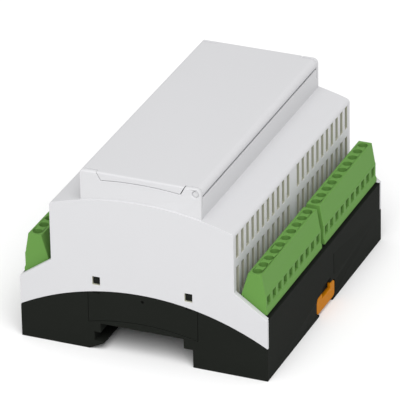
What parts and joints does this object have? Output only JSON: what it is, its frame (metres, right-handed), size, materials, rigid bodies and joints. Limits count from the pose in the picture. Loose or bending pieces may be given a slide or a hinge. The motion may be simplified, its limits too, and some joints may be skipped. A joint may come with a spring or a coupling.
{
  "type": "din rail enclosure",
  "caption": "Rail-mounted electronics housing with black lower shell, grey vented upper shell, hinged cover, foot latch and green screw terminal rows on a circuit board.",
  "frame": {"origin": "bottom centre of the housing, on the flat underside of the lower shell", "axes": "+X along the rail (the long direction), +Y across the rail away from the foot latch, +Z away from the rail, up"},
  "size_m": [0.1076, 0.0896, 0.0672],
  "materials": {
    "black_moulding": "matt",
    "grey_moulding": "fine satin",
    "orange_moulding": "satin",
    "green_moulding": "satin",
    "circuit_board": "solder mask",
    "plated_steel": "bright zinc",
    "tinned_brass": "tinned"
  },
  "bodies": {
    "housing": {"lower_shell": "black_moulding", "upper_shell": "grey_moulding", "front_plate": "grey_moulding", "main_board": "circuit_board", "end_plug_left": "black_moulding", "end_plug_right": "black_moulding", "terminal_block_front_left": "green_moulding", "terminal_block_front_right": "green_moulding", "terminal_block_rear_left": "green_moulding", "terminal_block_rear_right": "green_moulding", "terminal_screws_front_left": "plated_steel", "terminal_screws_front_right": "plated_steel", "terminal_screws_rear_left": "plated_steel", "terminal_screws_rear_right": "plated_steel", "clamp_cages_front_left": "plated_steel", "clamp_cages_front_right": "plated_steel", "clamp_cages_rear_left": "plated_steel", "clamp_cages_rear_right": "plated_steel", "solder_pins_front_left": "tinned_brass", "solder_pins_front_right": "tinned_brass", "solder_pins_rear_left": "tinned_brass", "solder_pins_rear_right": "tinned_brass"},
    "cover": {"cover_lid": "grey_moulding"},
    "latch": {"foot_latch": "orange_moulding"}
  },
  "joints": [
    {"name": "cover_hinge", "type": "hinge", "parent": "housing", "child": "cover", "pos_m": [0, -0.0196, 0.0651], "axis": [1, 0, 0], "range_deg": [0, 105]},
    {"name": "latch_slide", "type": "slide", "parent": "housing", "child": "latch", "axis": [0, -1, 0], "range_m": [0, 0.0036], "stiffness_N_per_m": 600, "springref_m": -0.002}
  ]
}
